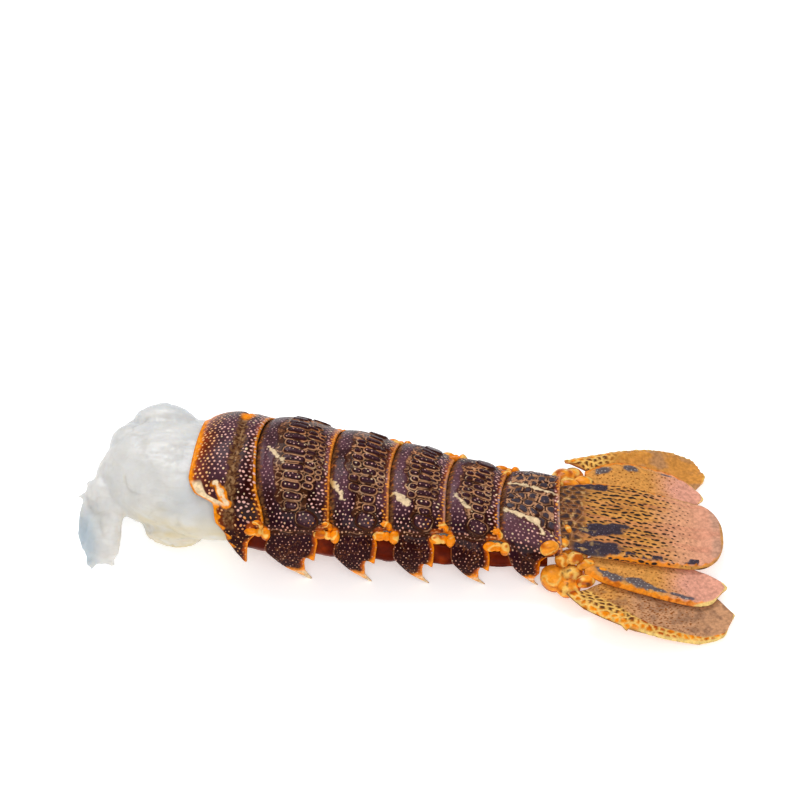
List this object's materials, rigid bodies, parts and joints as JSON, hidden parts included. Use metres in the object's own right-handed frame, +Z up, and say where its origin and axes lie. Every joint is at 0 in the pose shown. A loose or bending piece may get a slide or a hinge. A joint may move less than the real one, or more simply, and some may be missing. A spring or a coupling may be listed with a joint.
{
  "type": "lobster tail",
  "caption": "Raw spiny lobster tail with white meat spilling from the front of a spotted dark shell, orange side spikes and a spread tail fan",
  "frame": {"origin": "middle of the footprint, on the table", "axes": "+X runs from the torn meat to the tail fan, +Z is up, and the side seen in the picture faces -Y"},
  "size_m": [0.1898, 0.0795, 0.0323],
  "materials": {
    "meat": "moist translucent raw meat",
    "belly": "thin leathery belly skin",
    "shell": "wet dark purple shell with pale dots and orange edges",
    "telson": "brown and salmon shell with dark scales",
    "fan_base": "orange shell with cream marks",
    "blade": "orange brown shell with a pale margin"
  },
  "bodies": {
    "root": {"meat": "meat", "belly": "belly", "telson": "telson", "fan_base_near": "fan_base", "fan_base_far": "fan_base", "inner_blade_near": "blade", "inner_blade_far": "blade", "outer_blade_near": "blade", "outer_blade_far": "blade", "segment_1": "shell", "segment_2": "shell", "segment_3": "shell", "segment_4": "shell", "segment_5": "shell", "segment_6": "shell"}
  },
  "joints": []
}
